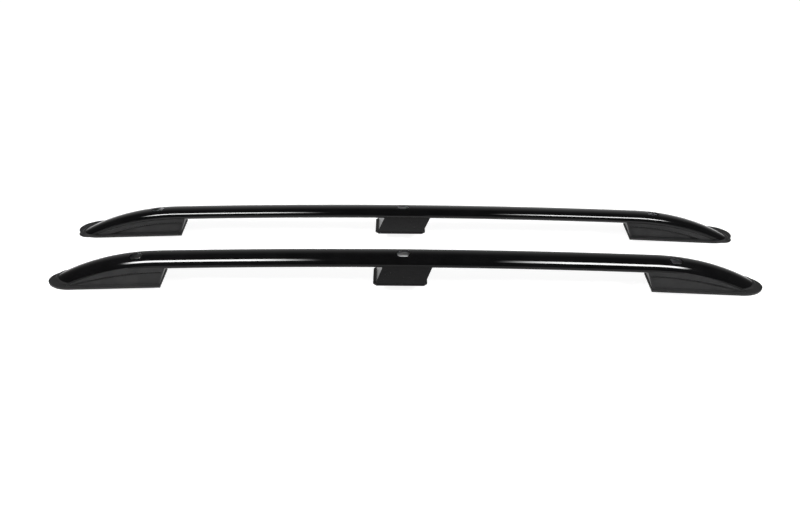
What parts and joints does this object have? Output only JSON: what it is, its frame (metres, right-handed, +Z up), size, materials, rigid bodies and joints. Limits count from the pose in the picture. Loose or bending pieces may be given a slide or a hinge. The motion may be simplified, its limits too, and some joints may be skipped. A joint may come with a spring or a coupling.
{
  "type": "roof side rail pair",
  "caption": "Pair of low-arched gloss black oval roof side rails with moulded end feet and a leaning middle support, bolted to a vehicle roof through holes in the tube.",
  "frame": {"origin": "middle of the pair, on the floor that the tips of the feet stand on", "axes": "+X along the rails towards the front feet, +Y from the left rail to the right rail as laid out, +Z up"},
  "size_m": [1.7506, 0.293, 0.0909],
  "materials": {
    "tube_gloss_black": "gloss black powder coat on an oval aluminium tube, bare inside",
    "foot_textured_black": "fine grained moulded black plastic",
    "support_satin_black": "satin black moulded plastic",
    "pad_rubber": "matt black rubber",
    "sleeve_steel": "zinc plated steel tube",
    "screw_steel": "zinc plated steel screws"
  },
  "bodies": {
    "root": {"left_rail_tube": "tube_gloss_black", "left_front_foot": "foot_textured_black", "left_rear_foot": "foot_textured_black", "left_middle_support": "support_satin_black", "left_front_foot_pad": "pad_rubber", "left_rear_foot_pad": "pad_rubber", "left_front_bolt_sleeve": "sleeve_steel", "left_middle_bolt_sleeve": "sleeve_steel", "left_rear_bolt_sleeve": "sleeve_steel", "left_front_foot_screws": "screw_steel", "left_rear_foot_screws": "screw_steel", "left_support_screws": "screw_steel", "right_rail_tube": "tube_gloss_black", "right_front_foot": "foot_textured_black", "right_rear_foot": "foot_textured_black", "right_middle_support": "support_satin_black", "right_front_foot_pad": "pad_rubber", "right_rear_foot_pad": "pad_rubber", "right_front_bolt_sleeve": "sleeve_steel", "right_middle_bolt_sleeve": "sleeve_steel", "right_rear_bolt_sleeve": "sleeve_steel", "right_front_foot_screws": "screw_steel", "right_rear_foot_screws": "screw_steel", "right_support_screws": "screw_steel"}
  },
  "joints": []
}
